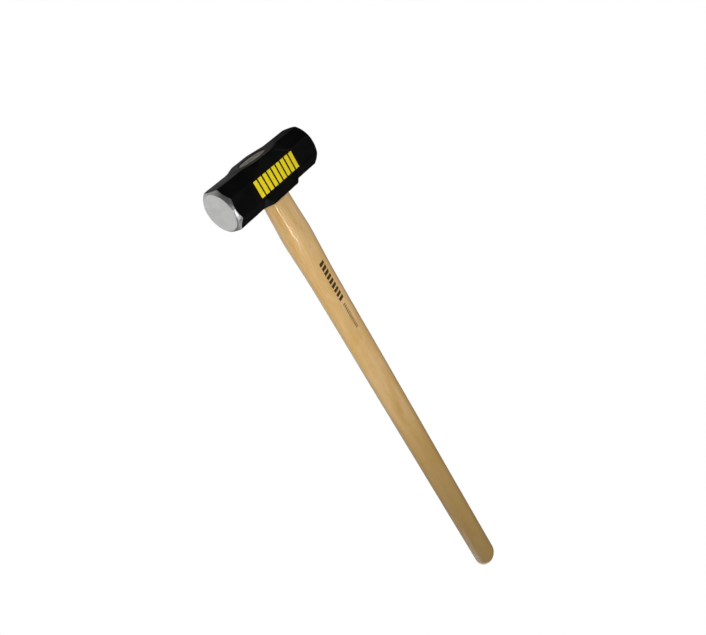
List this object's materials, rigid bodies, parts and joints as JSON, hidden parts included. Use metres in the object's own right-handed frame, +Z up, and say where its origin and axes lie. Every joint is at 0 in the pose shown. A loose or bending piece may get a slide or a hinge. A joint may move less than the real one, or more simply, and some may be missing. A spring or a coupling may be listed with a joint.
{
  "type": "sledge hammer",
  "caption": "Double-faced sledge hammer: black forged head with flat cheeks, long chamfered corners and ground striking faces, on a straight hickory handle.",
  "frame": {"origin": "centre of the eye-side facet of the head, on the floor that the hammer stands on", "axes": "+Z up the handle from head to butt, +X along the head towards the front striking face, +Y out of one cheek"},
  "size_m": [0.172, 0.0592, 0.914],
  "materials": {
    "black_enamel": "semi-gloss black enamel on forged steel, with bright ground striking faces",
    "hickory": "clear lacquered hickory",
    "wedge_wood": "end grain with paint overspray",
    "wedge_steel": "dull mild steel"
  },
  "bodies": {
    "root": {"head": "black_enamel", "handle": "hickory", "wooden_wedge": "wedge_wood", "steel_wedge_front": "wedge_steel", "steel_wedge_rear": "wedge_steel"}
  },
  "joints": []
}
